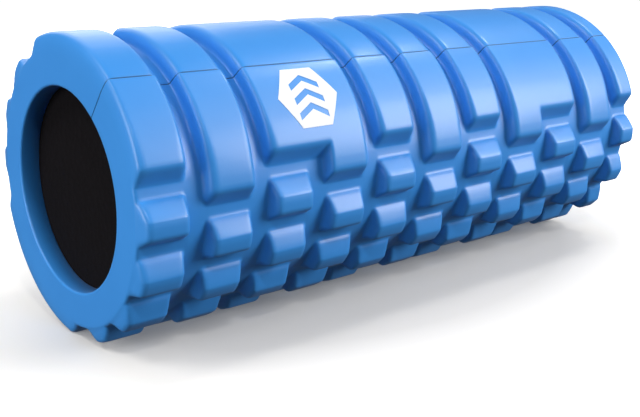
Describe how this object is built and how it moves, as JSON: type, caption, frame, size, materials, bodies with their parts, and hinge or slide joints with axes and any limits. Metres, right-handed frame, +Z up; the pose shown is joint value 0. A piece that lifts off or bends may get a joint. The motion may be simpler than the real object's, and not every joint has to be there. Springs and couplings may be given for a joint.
{
  "type": "foam roller",
  "caption": "Textured massage foam roller: a blue moulded foam sleeve with raised bands and blocks, bonded round a solid black foam core set back from both ends.",
  "frame": {"origin": "on the roller's axis at mid-length", "axes": "X along the roller's axis, +Z up, front of the roller (the end of the long bands and the rows of blocks) towards -Y"},
  "size_m": [0.33, 0.135, 0.1349],
  "materials": {
    "sleeve_foam": "satin moulded EVA foam",
    "core_foam": "matt black bead foam",
    "adhesive": "cured contact adhesive",
    "print_ink": "flat white print"
  },
  "bodies": {
    "root": {"foam_sleeve": "sleeve_foam", "foam_core": "core_foam", "core_adhesive": "adhesive", "seam_adhesive": "adhesive", "printed_emblem": "print_ink"}
  },
  "joints": []
}
